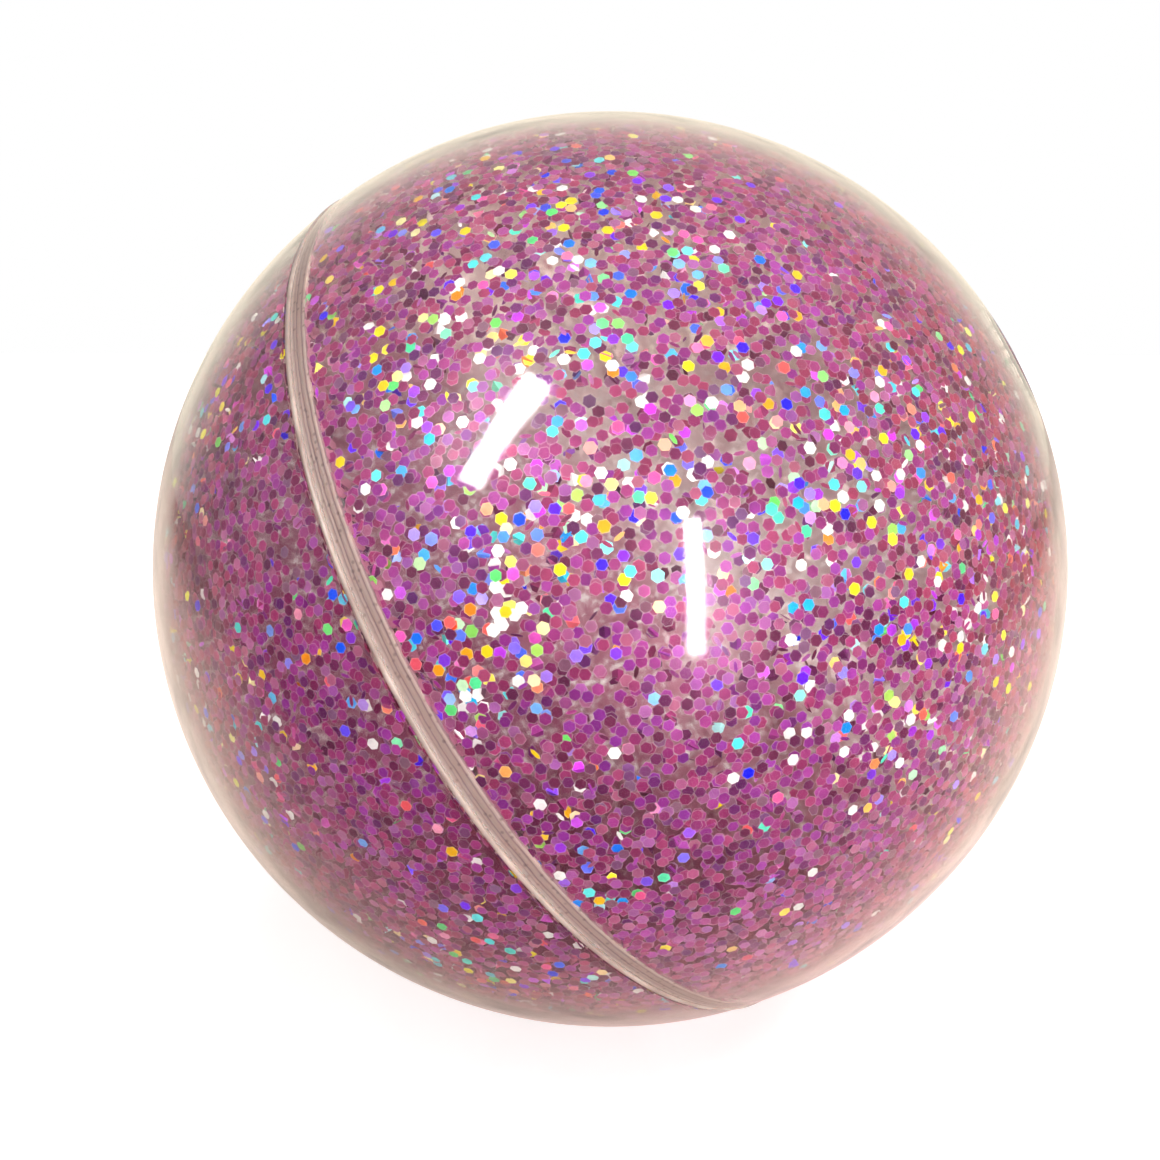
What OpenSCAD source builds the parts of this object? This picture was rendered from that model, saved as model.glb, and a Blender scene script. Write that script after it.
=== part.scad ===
// Hollow clear bouncy ball: two bonded half shells, a filler plug and hexagonal glitter inside.
// The ball's own axis runs through both poles, with the plug at the front pole.

/* [Ball] */
// Outside diameter of the ball
ball_d = 100; // [80:1:150]
// Thickness of the clear wall
wall = 0.8; // [0.6:0.1:4]
// How far the plug's pole is raised above level as the ball lies
lie_tilt = 30; // [0:1:60]

/* [Seam] */
// How far the rear half's spigot reaches into the front half
spigot_len = 1.9; // [1.5:0.1:5]
// Thickness of the spigot
spigot_t = 0.8; // [0.6:0.1:2.5]
// Length of the spigot's root on the rear half's wall
root_len = 0.6; // [0.4:0.1:4]
// Room for adhesive between the halves
bond_t = 0.3; // [0.2:0.05:0.6]
// Diameter of the adhesive bead on the seam line
bead_d = 0.5; // [0.4:0.05:0.9]
// How far the bead stands proud of the ball
bead_proud = 0.15; // [0.05:0.05:0.2]
// Clearance between the adhesive and each half
bond_gap = 0.03; // [0.01:0.01:0.05]

/* [Filler plug] */
// Diameter of the boss inside the front pole
boss_d = 16; // [14:0.5:20]
// How far the boss stands in from the wall
boss_t = 1.6; // [1.2:0.1:3]
// Diameter of the plug's head
head_d = 11.5; // [9:0.5:13]
// Thickness of the plug's head at its middle
head_t = 1.4; // [1:0.1:2]
// Diameter of the plug's stem
stem_d = 6; // [4:0.5:8]
// How far the barb stands out from the stem
barb_lip = 0.6; // [0.3:0.1:1]
// Length of the barb
barb_len = 1.3; // [0.8:0.1:2]
// Clearance around and below the plug
plug_gap = 0.1; // [0.05:0.05:0.2]

/* [Glitter] */
// Width of a flake across its flats
flake_w = 1; // [0.6:0.05:1.5]
// Thickness of a flake
flake_t = 0.08; // [0.05:0.01:0.15]
// Most that a flake on the wall is tilted
cling_tilt = 5; // [0:1:8]
// Clearance between a flake on the wall and the wall
cling_gap = 0.1; // [0.05:0.05:0.3]
// Places for flakes on the wall
cling_places = 700; // [200:10:900]
// Loose flakes in each of the two heaps
loose_count = 60; // [20:1:90]
// Half angle of a heap of loose flakes, seen from the middle of the ball
heap_angle = 34; // [25:1:50]
// Clearance around each heap as it rolls
loose_gap = 0.3; // [0.2:0.1:1]

/* [Hidden] */
ROUND = 120;
GOLDEN_ANGLE = 180 * (3 - sqrt(5));
// Colours that the flakes flash, with the share of the flakes that shows each
FLASHES = [
  ["rose", "#ac4a7a", 0.28],
  ["mauve", "#963c6e", 0.28],
  ["plum", "#682448", 0.21],
  ["violet", "#6a20f0", 0.05],
  ["magenta", "#cc3cd4", 0.035],
  ["coral", "#ee666a", 0.035],
  ["gold", "#fae214", 0.03],
  ["green", "#60dc78", 0.02],
  ["aqua", "#54e4e8", 0.02],
  ["blue", "#4a72ee", 0.02],
  ["pearl", "#f6f4f0", 0.02]
];

ball_r = ball_d / 2;
inner_r = ball_r - wall;
spigot_r = inner_r - bond_t;
throat_r = spigot_r - spigot_t;
bead_r = ball_r + bead_proud - bead_d / 2;
// Heights along the ball's own axis, from its middle
boss_face = inner_r - boss_t;
head_seat = ball_r - head_t;
barb_top = boss_face - plug_gap;
plug_end = barb_top - barb_len;
// Corner to corner half width of a flake, and the radii on which flakes lie
flake_r = flake_w / sqrt(3);
cling_r = inner_r - cling_gap - flake_t / 2 - flake_r * sin(cling_tilt);
side_heap_r = plug_end - loose_gap - flake_r;
fore_heap_r = side_heap_r - 2 * flake_r - loose_gap;
// Room kept free of clinging flakes beside the spigot and the boss
flake_room = flake_r + cling_gap;

// A number from 0 to 1 that looks random but is the same every time
function scatter(i, turn) =
  let (x = sin(i * 12.9898 + turn * 78.233) * 43758.5453)
  x - floor(x);

// Share of the flakes that come before a flash in the list
function share_before(n) = n == 0 ? 0 : share_before(n - 1) + FLASHES[n - 1][2];

// Place on a ball of unit radius: evenly spread, from the front pole to the rear one
function spread_height(i, count) = 1 - 2 * (i + 0.5) / count;

// True where the wall is bare: not under the spigot and its root, nor under the boss
function wall_is_bare(h) =
  let (axial = cling_r * h, aside = cling_r * sqrt(1 - h * h))
  (axial > spigot_len + flake_room || axial < -root_len - flake_room)
  && (axial < 0 || aside > boss_d / 2 + flake_room);

// Turns a shape drawn along the ball's own axis to the way the ball lies
module as_it_lies() {
  rotate([0, 90 - lie_tilt, 0])
    children();
}

// Part of a hollow ball between two heights along the axis
module ball_zone(outer, inner, low, high) {
  intersection() {
    difference() {
      sphere(r = outer, $fn = ROUND);
      sphere(r = inner, $fn = ROUND);
    }
    translate([0, 0, low])
      cylinder(r = outer + 1, h = high - low, $fn = ROUND);
  }
}

// Groove in the edges of both halves for the adhesive bead
module bead_groove() {
  translate([0, 0, bond_t / 2])
    rotate_extrude($fn = ROUND)
      translate([bead_r, 0])
        circle(d = bead_d + 2 * bond_gap, $fn = 48);
}

// Boss that carries the filler bore, on the inside of the front pole
module filler_boss() {
  intersection() {
    translate([0, 0, boss_face])
      cylinder(d = boss_d, h = ball_r - boss_face, $fn = ROUND);
    sphere(r = ball_r - wall / 2, $fn = ROUND);
  }
}

module front_half_shell() {
  color("#e9dfcf", 0.25)
    as_it_lies()
      difference() {
        union() {
          ball_zone(ball_r, inner_r, bond_t, ball_r + 1);
          filler_boss();
        }
        translate([0, 0, boss_face - 1])
          cylinder(d = stem_d + 2 * plug_gap, h = wall + boss_t + 2, $fn = ROUND);
        translate([0, 0, head_seat])
          cylinder(d = head_d + 2 * plug_gap, h = head_t + 1, $fn = ROUND);
        bead_groove();
      }
}

module rear_half_shell() {
  color("#e9dfcf", 0.25)
    as_it_lies()
      difference() {
        union() {
          ball_zone(ball_r, inner_r, -ball_r - 1, 0);
          ball_zone(ball_r - wall / 2, throat_r, -root_len, 0);
          ball_zone(spigot_r, throat_r, -root_len, spigot_len);
        }
        bead_groove();
      }
}

// Film of adhesive between the spigot and the front half's wall
module seam_bond() {
  color("#c9ab9c", 0.8)
    as_it_lies()
      rotate_extrude($fn = ROUND)
        intersection() {
          difference() {
            circle(r = inner_r - bond_gap, $fn = 3 * ROUND);
            circle(r = spigot_r + bond_gap, $fn = 3 * ROUND);
          }
          translate([0, bond_gap])
            square([ball_r, spigot_len - bond_gap]);
        }
}

// Adhesive between the butt faces, squeezed out to a bead along the seam line
module seam_bead() {
  color("#e6d3c6", 0.9)
    as_it_lies()
      rotate_extrude($fn = ROUND)
        union() {
          translate([bead_r, bond_t / 2])
            circle(d = bead_d, $fn = 48);
          translate([inner_r, bond_gap])
            square([bead_r - inner_r, bond_t - 2 * bond_gap]);
        }
}

module filler_plug() {
  color("#d8cdbd", 0.6)
    as_it_lies()
      union() {
        intersection() {
          translate([0, 0, head_seat])
            cylinder(d = head_d, h = head_t + 1, $fn = ROUND);
          sphere(r = ball_r, $fn = ROUND);
        }
        translate([0, 0, plug_end])
          cylinder(d = stem_d, h = head_seat - plug_end, $fn = ROUND);
        translate([0, 0, plug_end])
          cylinder(d1 = stem_d, d2 = stem_d + 2 * barb_lip, h = barb_len, $fn = ROUND);
      }
}

// One flake on the axis at a given radius, tilted and spun in its own plane
module flake(radius, tilt, spin) {
  translate([0, 0, radius])
    rotate([tilt, 0, spin])
      cylinder(r = flake_r, h = flake_t, center = true, $fn = 6);
}

// All flakes on the wall that flash one colour
module clinging_flakes(flash) {
  low = share_before(flash);
  high = low + FLASHES[flash][2];
  color(FLASHES[flash][1])
    as_it_lies()
      for (i = [0 : cling_places - 1]) {
        h = spread_height(i, cling_places);
        pick = scatter(i, 1);
        if (pick >= low && pick < high && wall_is_bare(h))
          rotate([0, 0, i * GOLDEN_ANGLE])
            rotate([0, acos(h), 0])
              flake(cling_r, cling_tilt * (2 * scatter(i, 2) - 1), 60 * scatter(i, 3));
      }
}

// Loose flakes lying in the bottom of the ball
module heap(radius) {
  for (i = [0 : loose_count - 1]) {
    h = 1 - (1 - cos(heap_angle)) * (i + 0.5) / loose_count;
    rotate([0, 0, i * GOLDEN_ANGLE])
      rotate([0, 180 - acos(h), 0])
        flake(radius, 80 * (2 * scatter(i, 4) - 1), 60 * scatter(i, 5));
  }
}

module side_rolling_flakes() {
  color("#a8578b")
    heap(side_heap_r);
}

module fore_rolling_flakes() {
  color("#8a4a9c")
    heap(fore_heap_r);
}

front_half_shell();
rear_half_shell();
seam_bond();
seam_bead();
filler_plug();
for (flash = [0 : len(FLASHES) - 1])
  clinging_flakes(flash);
side_rolling_flakes();
fore_rolling_flakes();
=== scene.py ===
import math
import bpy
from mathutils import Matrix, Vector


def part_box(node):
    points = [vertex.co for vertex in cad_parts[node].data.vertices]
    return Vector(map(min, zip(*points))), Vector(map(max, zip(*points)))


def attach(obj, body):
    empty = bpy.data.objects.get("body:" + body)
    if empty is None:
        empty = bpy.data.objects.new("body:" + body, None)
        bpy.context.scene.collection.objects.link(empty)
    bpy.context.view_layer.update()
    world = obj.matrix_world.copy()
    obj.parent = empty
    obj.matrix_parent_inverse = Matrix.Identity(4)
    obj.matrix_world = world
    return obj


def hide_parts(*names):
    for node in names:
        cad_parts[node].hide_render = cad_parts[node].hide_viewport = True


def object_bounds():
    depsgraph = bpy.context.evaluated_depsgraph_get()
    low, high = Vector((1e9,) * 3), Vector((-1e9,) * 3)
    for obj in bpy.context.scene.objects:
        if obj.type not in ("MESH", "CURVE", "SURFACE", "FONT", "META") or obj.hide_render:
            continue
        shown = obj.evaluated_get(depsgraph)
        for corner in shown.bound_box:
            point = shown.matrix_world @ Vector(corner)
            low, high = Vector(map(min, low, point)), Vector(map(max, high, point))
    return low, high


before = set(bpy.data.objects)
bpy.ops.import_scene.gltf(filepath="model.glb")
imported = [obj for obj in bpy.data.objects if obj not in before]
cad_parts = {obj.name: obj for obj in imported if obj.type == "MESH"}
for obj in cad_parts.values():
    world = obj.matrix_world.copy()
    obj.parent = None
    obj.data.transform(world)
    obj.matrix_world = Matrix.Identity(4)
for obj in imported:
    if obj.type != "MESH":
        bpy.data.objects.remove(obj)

from types import SimpleNamespace

import bmesh
import bpy
from mathutils import Matrix, Vector, noise

bl_info = {
    "name": "Glitter Bouncy Ball",
    "version": (1, 0, 0),
    "blender": (4, 5, 0),
    "location": "View3D > Sidebar > Bouncy Ball",
    "description": "Builds a clear hollow ball lined with holographic glitter flakes",
    "category": "Object",
}

CAD_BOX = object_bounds()
BALL_RADIUS = round(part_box("rear_half_shell")[1].y, 4)

# The photograph's side, the ball's middle in it and the camera's focal length, all in pixels
PHOTO_SIDE = 1160
BALL_SPOT = (610.25, 569.0)
PHOTO_FOCUS = 1024.1

# Steps round the ball's axis and along the outline, for each turned surface
SHELL_ROUND, SHELL_ARC, SPIGOT_ARC = 256, 72, 4
FILM_ROUND, FILM_STEPS = 384, 28
BEAD_ROUND, BEAD_STEPS = 512, 19
PLUG_ROUND, PLUG_ARC = 128, 16
LINING_ROUND, LINING_ARC = 192, 60
HEAP_ROUND, HEAP_ARC = 96, 24

# Small lengths that shape the edges and the adhesive
BORE_CHAMFER, HEAD_CHAMFER = 0.00012, 0.0002
FILM_BITE, FILM_RIDGE, FILM_SEAT, FILM_FRAY = 0.00004, 0.00002, 0.00003, 0.00022
BEAD_LEG = 0.00012
# Number of ridges, share of the film's length at which it frays, and the bead's half turn in degrees
FILM_RIDGES, FRAY_START, BEAD_SWEEP = 4, 0.55, 160
# Mean share of the bead's full height, and how much it changes
BEAD_FULLNESS, BEAD_SWELL = 0.82, 0.18

# Floor's half side, its distance under the ball, and the bloom's shift to the right
FLOOR_REACH, FLOOR_GAP, BLOOM_ASIDE = 9, 0.00002, 0.025
# Strip lamps: the pixels at which the ball mirrors their ends, and their half width there
STRIPS = (("slanting_strip", (470, 485), (540, 380), 13), ("upright_strip", (693, 520), (695, 665), 9))
# How far each lamp is from the ball, and the sides of the soft ones
STRIP_FAR, KEY_FAR, FILL_FAR = 0.5, 1.3, 1.2
KEY_SIZE, FILL_SIZE = (1.0, 1.0), (0.5, 0.8)
COOL_SIDE = (0.94, 0.97, 1.0)
SENSOR_WIDTH = 36

# Clear plastic of the shell: tint, refraction, roughness, and the haze of its skin
SHELL_TINT, CLEAR_IOR = "#f3e8d4", 1.49
SHELL_ROUGHNESS, SHELL_HAZE, HAZE_ROUGHNESS = 0.065, 0.08, 0.28
WHITE = (1.0, 1.0, 1.0)

# Shades across the film of adhesive, from the seam line to the spigot's end
FILM_STRIPS = (
    (0.00, "#b5a099"), (0.10, "#a49089"), (0.30, "#a18c84"), (0.34, "#846c70"), (0.38, "#a08982"),
    (0.45, "#957f77"), (0.50, "#70565b"), (0.55, "#9b847d"), (0.74, "#947e77"), (0.79, "#7c6065"),
    (0.84, "#a48e86"), (0.94, "#b5a097"), (1.00, "#8b6c71"),
)
BEAD_SHADES = ((0.32, "#85736d"), (0.5, "#9a8980"), (0.68, "#b1a096"))
# The plug's dark shades are partly its own colour and partly painted shade for the dark line at its edge
PLUG_SHADES = ((0.3, "#5e4c50"), (0.7, "#776569"))


def linear(code):
    """Scene colour of a hexadecimal screen colour."""
    parts = [int(code[i:i + 2], 16) / 255 for i in (1, 3, 5)]
    return tuple(p / 12.92 if p <= 0.04045 else ((p + 0.055) / 1.055) ** 2.4 for p in parts)


def number(label, words, default, **options):
    """Property for one number."""
    return bpy.props.FloatProperty(name=label, description=words, default=default, **options)


def length(label, words, default):
    """Length in metres."""
    return number(label, words, default, min=0, precision=5, subtype="DISTANCE", unit="LENGTH")


def share(label, words, default):
    """Share from 0 to 1."""
    return number(label, words, default, min=0, max=1, subtype="FACTOR")


def angle(label, words, default):
    """Angle with its default in degrees."""
    return number(label, words, math.radians(default), subtype="ANGLE", unit="ROTATION")


def strength(label, words, default):
    """Radiance of a light."""
    return number(label, words, default, min=0)


def colour(label, words, code):
    """Colour with its default as a screen colour."""
    return bpy.props.FloatVectorProperty(
        name=label, description=words, default=linear(code), size=3, min=0, max=1, subtype="COLOR"
    )


class BallSizes(bpy.types.PropertyGroup):
    """Sizes of the shell, its seam and its plug"""

    radius: length("Radius", "Outside radius of the ball", BALL_RADIUS)
    wall: length("Wall", "Thickness of the clear wall", 0.0008)
    lie_tilt: angle("Lie", "How far the plug's pole is raised above level", 30)
    spigot_length: length("Spigot length", "Reach of the rear half into the front half", 0.0019)
    spigot_wall: length("Spigot wall", "Thickness of the spigot", 0.0008)
    root_length: length("Root length", "Length of the spigot's root on the rear half", 0.0006)
    bond: length("Bond", "Room for adhesive between the halves", 0.0003)
    bead_width: length("Bead width", "Width of the adhesive bead on the seam line", 0.0005)
    bead_proud: length("Bead height", "How far the bead stands proud of the ball", 0.00015)
    boss_width: length("Boss width", "Diameter of the boss inside the front pole", 0.016)
    boss_depth: length("Boss depth", "How far the boss stands in from the wall", 0.0016)
    head_width: length("Plug head width", "Diameter of the plug's head", 0.0115)
    head_depth: length("Plug head depth", "Thickness of the plug's head at its middle", 0.0014)
    stem_width: length("Plug stem width", "Diameter of the plug's stem", 0.006)
    barb_lip: length("Barb lip", "How far the barb stands out from the stem", 0.0006)
    barb_length: length("Barb length", "Length of the barb", 0.0013)
    plug_gap: length("Plug gap", "Clearance around the plug", 0.0001)


class GlitterSizes(bpy.types.PropertyGroup):
    """Sizes and spread of the glitter"""

    flake_width: length("Flake width", "Width of a flake across its flats", 0.001)
    flake_thickness: length("Flake thickness", "Thickness of a flake at its middle", 0.00003)
    spacing: length("Spacing", "Least distance between flakes of one layer", 0.00082)
    layer_gap: length("Layer gap", "Distance from one layer of flakes to the next", 0.00007)
    wall_gap: length("Wall gap", "Distance of the first layer from the wall", 0.00005)
    tilt: angle("Tilt", "Most that a flake on the wall is tilted", 4)
    lifted: share("Lifted", "Share of the flakes that stand away from the wall", 0.13)
    creased: share("Creased", "Share of the flakes that are folded", 0.05)
    slivers: share("Slivers", "Share of the flakes that are narrow offcuts", 0.06)
    front_share: share("Front share", "Share of the flakes that is left at the front of the ball", 0.68)
    heap_spacing: length("Heap spacing", "Least distance between loose flakes of one layer", 0.0016)
    heap_angle: angle("Heap angle", "Half angle of a heap, seen from the ball's middle", 34)
    heap_room: length("Heap room", "Clearance around each heap as it rolls", 0.0003)
    seed: bpy.props.IntProperty(name="Seed", description="Start of the random spread", default=7, min=0)


class GlitterColours(bpy.types.PropertyGroup):
    """Colours that the holographic flakes flash, painted into the foil as fixed glints and reflections"""

    # Rose, mauve and plum are copies of one foil painted as it looks square on, aslant and turned away from
    # the light: plum is painted shade
    rose: colour("Rose", "Foil seen square on", "#aa3e71")
    mauve: colour("Mauve", "Foil seen a little aslant", "#983167")
    plum: colour("Plum", "Foil turned away from the light", "#742a50")
    violet: colour("Violet", "Flash between blue and red", "#6410f4")
    magenta: colour("Magenta", "Flash next to violet", "#c636dc")
    coral: colour("Coral", "Warm flash", "#ee5a62")
    gold: colour("Gold", "Yellow flash", "#fae214")
    green: colour("Green", "Green flash", "#60dc78")
    aqua: colour("Aqua", "Green-blue flash", "#54e4e8")
    blue: colour("Blue", "Deep blue flash", "#4a72ee")
    pearl: colour("Pearl", "Foil that mirrors the light", "#f6f4f0")
    # The backs are painted lighter at the top, towards the key lamp, and darker low on the ball: painted
    # light and shade
    lining: colour("Backs", "Backs of the flakes at the top of the ball", "#fff4ee")
    mid_backs_painted_half_shade: colour("Mid backs", "Backs of the flakes half way up the ball", "#b87f90")
    low_backs_painted_shade: colour("Low backs", "Backs of the flakes at the bottom of the ball", "#82405e")


class StudioSettings(bpy.types.PropertyGroup):
    """Camera, floor and lamps"""

    azimuth: angle("Azimuth", "Turn of the camera round the ball", 18.25)
    elevation: angle("Elevation", "Height of the camera above level", 12.25)
    reach: number("Camera reach", "Camera distance in ball radii", 2.45, min=1.2)
    floor_tint: colour("Floor", "Pale floor", "#eee6e4")
    floor_lift: share("Floor lift", "How much whiter the floor near the ball is shown than it lights", 0.5)
    # The floor's gleam, bloom and shade that follow show only where the ball's skin mirrors the floor:
    # painted gleam, painted bounce light and painted shade
    floor_gleam: share("Floor gleam", "How much paler the floor behind the ball looks in its skin", 0.62)
    floor_gleam_tint: colour("Floor gleam tint", "Blush of the floor behind the ball in its skin", "#f2dfd3")
    floor_bloom: share("Floor bloom", "How much more the floor under the ball gleams in its skin", 0.3)
    floor_bloom_tint: colour("Floor bloom tint", "Blush that the ball throws on the floor", "#fbd8d6")
    floor_shade: colour("Floor shade", "Floor on the camera's side, as the ball's skin mirrors it", "#3a222c")
    world_level: strength("World", "Mean level of the surroundings on the camera's side", 0.22)
    world_slope: strength("World slope", "How much brighter the surroundings are towards the key lamp", 0.14)
    world_behind: strength("World behind", "How much brighter the surroundings are behind the ball", 0.98)
    world_tint: colour("World tint", "Warm tint of the surroundings behind the ball", "#fff3de")
    strip_level: strength("Strip lamps", "Radiance of the two strip lamps", 40)
    key_level: strength("Key lamp", "Radiance of the large soft lamp", 6.8)
    fill_level: strength("Fill lamp", "Radiance of the low soft lamp on the camera's side", 14.2)


# Each flash, with the share of the flakes that shows it. The flashes are glints painted into the foil's
# colour. Calm ones are plain foil, paling ones turn white
FLASHES = {
    "rose": 0.285, "mauve": 0.285, "plum": 0.16, "violet": 0.055, "magenta": 0.035, "coral": 0.03,
    "gold": 0.055, "green": 0.02, "aqua": 0.022, "blue": 0.011, "pearl": 0.042,
}
CALM = ("rose", "mauve", "plum")
PALING = ("gold", "green", "aqua", "pearl")
ALL_PICKED = 1.001
LAYERS = 3
LIFTED_TILT = math.radians(80)
# Share of lifted flakes in a heap, a sliver's width, a fold's slope, and the flashes' lean to the left
HEAP_LIFTED, SLIVER_WIDTH, FOLD_SLOPE, FLASH_LEAN = 0.8, 0.35, 0.7, 0.14
# Seeds that keep the random draws of a flake apart
DRAWS = {
    "pick": 11, "tone": 21, "hue": 22, "lifted": 23, "roll": 24, "pitch": 25, "spin": 26, "sliver": 27,
    "size": 28, "creased": 29,
}


def measures():
    """Radii and heights along the ball's own axis that follow from the sizes."""
    s = bpy.context.scene.ball_sizes
    m = SimpleNamespace(ball=s.radius, inner=s.radius - s.wall)
    m.spigot = m.inner - s.bond
    m.throat = m.spigot - s.spigot_wall
    m.bead = s.radius + s.bead_proud - s.bead_width / 2
    m.boss = s.boss_width / 2
    m.boss_face = m.inner - s.boss_depth
    m.head = s.head_width / 2
    m.head_seat = s.radius - s.head_depth
    m.stem = s.stem_width / 2
    m.bore = m.stem + s.plug_gap
    m.barb = m.stem + s.barb_lip
    m.barb_top = m.boss_face - s.plug_gap
    m.plug_end = m.barb_top - s.barb_length
    return m


def lie():
    """Turn from the ball's own axis to the way the ball lies."""
    return Matrix.Rotation(math.radians(90) - bpy.context.scene.ball_sizes.lie_tilt, 4, "Y")


def arc(radius, start, end, steps):
    """Points (distance from axis, height) of an arc about the middle, by angle from the front pole."""
    turns = [start + (end - start) * i / steps for i in range(steps + 1)]
    return [(max(radius * math.sin(a), 0), radius * math.cos(a)) for a in turns]


def tilt_of(radius, along):
    """Angle from the front pole at which an arc has a given height."""
    return math.acos(along / radius)


def beside(radius, aside):
    """Height on a ball's surface at a distance from the axis."""
    return math.sqrt(radius * radius - aside * aside)


def turned(outline, steps, closed=True):
    """Mesh of an outline turned about the ball's own axis."""
    shape = bmesh.new()
    rings = []
    for aside, along in outline:
        if aside < 1e-6:
            rings.append([shape.verts.new((0, 0, along))])
            continue
        turns = [math.tau * i / steps for i in range(steps)]
        rings.append([shape.verts.new((aside * math.cos(a), aside * math.sin(a), along)) for a in turns])
    pairs = list(zip(rings, rings[1:]))
    if closed:
        pairs.append((rings[-1], rings[0]))
    for first, second in pairs:
        for i in range(steps):
            j = (i + 1) % steps
            corners = [first[n % len(first)] for n in (i, j)] + [second[n % len(second)] for n in (j, i)]
            corners = list(dict.fromkeys(corners))
            if len(corners) > 2:
                shape.faces.new(corners)
    if closed:
        bmesh.ops.recalc_face_normals(shape, faces=shape.faces)
    mesh = bpy.data.meshes.new("turned")
    shape.to_mesh(mesh)
    shape.free()
    return mesh


def added(name, data):
    """New object in the scene that holds a mesh, a lamp or a camera."""
    made = bpy.data.objects.new(name, data)
    bpy.context.scene.collection.objects.link(made)
    return made


def placed(name, mesh, material, sharp=35):
    """Object at the origin that holds a mesh laid the way the ball lies."""
    mesh.name = name
    mesh.transform(lie())
    mesh.shade_smooth()
    mesh.set_sharp_from_angle(angle=math.radians(sharp))
    mesh.materials.append(material)
    return added(name, mesh)


def dress(piece, body, slot, *nodes):
    """Ties a finished piece to its body and hides the solids that it stands for."""
    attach(piece, body)
    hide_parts(*nodes)


class Sheet:
    """Short way to lay out one node tree."""

    def __init__(self, tree):
        self.tree = tree

    def add(self, kind, inputs=None, **settings):
        """Adds a node, sets its options, and fills or links its inputs."""
        node = self.tree.nodes.new(kind)
        for key, value in settings.items():
            setattr(node, key, value)
        for key, value in (inputs or {}).items():
            self.give(node, key, value)
        return node

    def give(self, node, key, value):
        """Fills or links one input, by its name or place."""
        if isinstance(key, int):
            target = node.inputs[key]
        else:
            target = next(s for s in node.inputs if s.enabled and s.name == key)
        for item in value if isinstance(value, list) else [value]:
            if isinstance(item, bpy.types.NodeSocket):
                self.tree.links.new(item, target)
            else:
                target.default_value = item

    def settle(self, shader, **values):
        """Fills or links a shader's inputs, by name with low lines for spaces."""
        for name, value in values.items():
            self.give(shader, name.replace("_", " "), value)

    def out(self, kind, inputs=None, **settings):
        """Adds a node and returns its first live output."""
        node = self.add(kind, inputs, **settings)
        return next(s for s in node.outputs if s.enabled)

    def math(self, operation, a, b=0.0):
        """One step of arithmetic."""
        return self.out("ShaderNodeMath", {0: a, 1: b}, operation=operation)

    def plus(self, a, b):
        return self.math("ADD", a, b)

    def minus(self, a, b):
        return self.math("SUBTRACT", a, b)

    def times(self, a, b):
        return self.math("MULTIPLY", a, b)

    def vector(self, operation, a, b=None):
        """One step of vector arithmetic."""
        return self.out("ShaderNodeVectorMath", {0: a} if b is None else {0: a, 1: b}, operation=operation)

    def dot(self, a, b):
        """How far one vector reaches along another."""
        return self.add("ShaderNodeVectorMath", {0: a, 1: b}, operation="DOT_PRODUCT").outputs["Value"]

    def scaled(self, a, factor):
        """A vector made longer or shorter."""
        return self.out("ShaderNodeVectorMath", {0: a, "Scale": factor}, operation="SCALE")

    def xyz(self, x=0.0, y=0.0, z=0.0):
        """A vector from its three parts."""
        return self.out("ShaderNodeCombineXYZ", {"X": x, "Y": y, "Z": z})

    def span(self, value, low, high, first=0.0, last=1.0, curve="LINEAR"):
        """Carries the span from low to high over to the one from first to last."""
        inputs = {"Value": value, 1: low, 2: high, 3: first, 4: last}
        return self.out("ShaderNodeMapRange", inputs, interpolation_type=curve)

    def spot(self):
        """Place on the piece, in its own frame."""
        return self.add("ShaderNodeTexCoord").outputs["Object"]

    def cloud(self, spot, scale, detail, roughness=0.5):
        """Soft noise over a place."""
        inputs = {"Vector": spot, "Scale": scale, "Detail": detail, "Roughness": roughness}
        return self.out("ShaderNodeTexNoise", inputs)

    def attribute(self, name):
        """A value that each flake carries."""
        return self.add("ShaderNodeAttribute", attribute_name=name).outputs["Fac"]

    def relief(self, height, amount, depth, under=None):
        """Fine relief of the surface, on top of another one if there is one."""
        inputs = {"Height": height, "Strength": amount, "Distance": depth}
        if under:
            inputs["Normal"] = under
        return self.out("ShaderNodeBump", inputs)

    def choose(self, switch, no, yes):
        """One of two numbers."""
        inputs = {"Switch": switch, "False": no, "True": yes}
        return self.out("GeometryNodeSwitch", inputs, input_type="FLOAT")

    def ramp(self, factor, stops):
        """Colour ramp with the given (place, colour) stops."""
        node = self.add("ShaderNodeValToRGB", {"Fac": factor})
        while len(node.color_ramp.elements) < len(stops):
            node.color_ramp.elements.new(1)
        for element, (place, tint) in zip(node.color_ramp.elements, stops):
            element.position = place
            element.color = (*tint, 1)
        return node.outputs["Color"]

    def mix(self, factor, a, b, blend="MIX"):
        """Mixes two colours."""
        a, b = ((*tint, 1) if isinstance(tint, tuple) else tint for tint in (a, b))
        inputs = {0: factor, 6: a, 7: b}
        return self.add("ShaderNodeMix", inputs, data_type="RGBA", blend_type=blend).outputs[2]


def finish_of(name):
    """New material with its sheet and its shader."""
    material = bpy.data.materials.new(name)
    material.use_nodes = True
    tree = material.node_tree
    tree.nodes.clear()
    sheet = Sheet(tree)
    shader = sheet.add("ShaderNodeBsdfPrincipled")
    end = sheet.add("ShaderNodeOutputMaterial", {"Surface": shader.outputs[0]})
    return material, sheet, shader, end


def shades(stops):
    """Stops of a ramp with their screen colours as scene colours."""
    return [(place, linear(code)) for place, code in stops]


def shade(tint, factor):
    """A colour made darker."""
    return tuple(c * factor for c in tint)


def pale(tint, factor):
    """A colour mixed with white."""
    return tuple(c + (1 - c) * factor for c in tint)


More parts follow.
